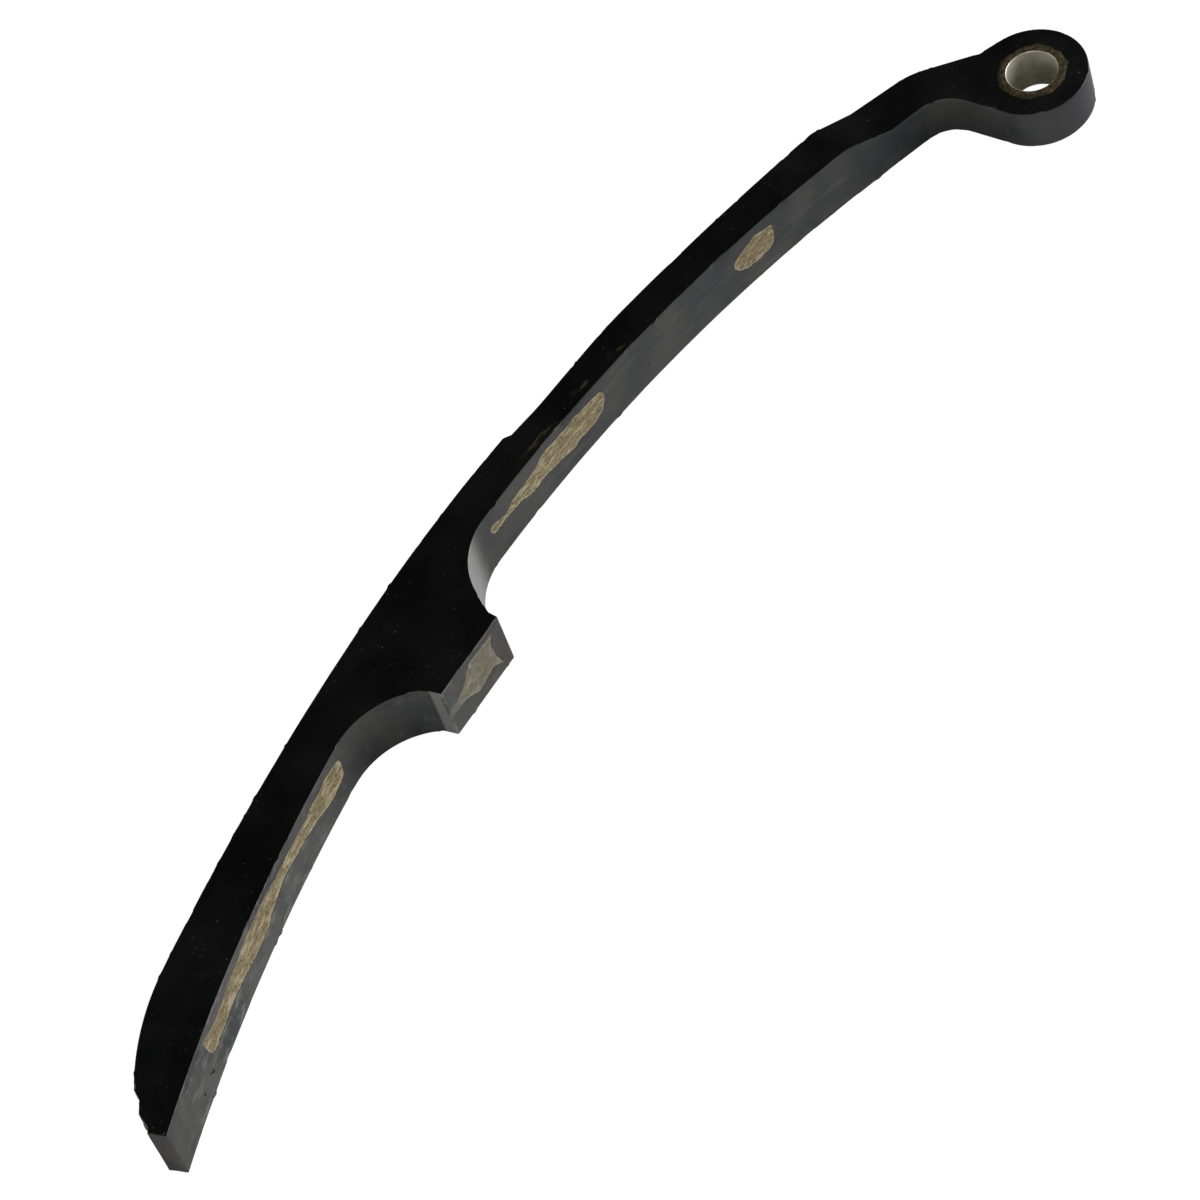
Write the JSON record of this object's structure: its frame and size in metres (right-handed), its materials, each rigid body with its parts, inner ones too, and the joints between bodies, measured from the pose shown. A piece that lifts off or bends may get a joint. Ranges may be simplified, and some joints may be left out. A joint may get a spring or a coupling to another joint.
{
  "type": "timing chain guide",
  "caption": "Curved timing chain guide: black rubber moulded over a steel leaf, with a bushed pivot eye at one end and a raised pad on its back.",
  "frame": {"origin": "middle of the bounding box, at its bottom, where the guide lies on its side", "axes": "+X from the tip towards the pivot eye, +Y towards the chain face, +Z along the bush's axis"},
  "size_m": [0.266, 0.0468, 0.0124],
  "materials": {
    "rubber": "satin, polished where the chain runs",
    "coated_leaf": "tan, granular bonding coat",
    "coated_block": "olive-beige, dull",
    "bush_steel": "turned, oil-stained"
  },
  "bodies": {
    "root": {"rubber_body": "rubber", "steel_leaf": "coated_leaf", "pad_block": "coated_block", "pivot_bush": "bush_steel"}
  },
  "joints": []
}
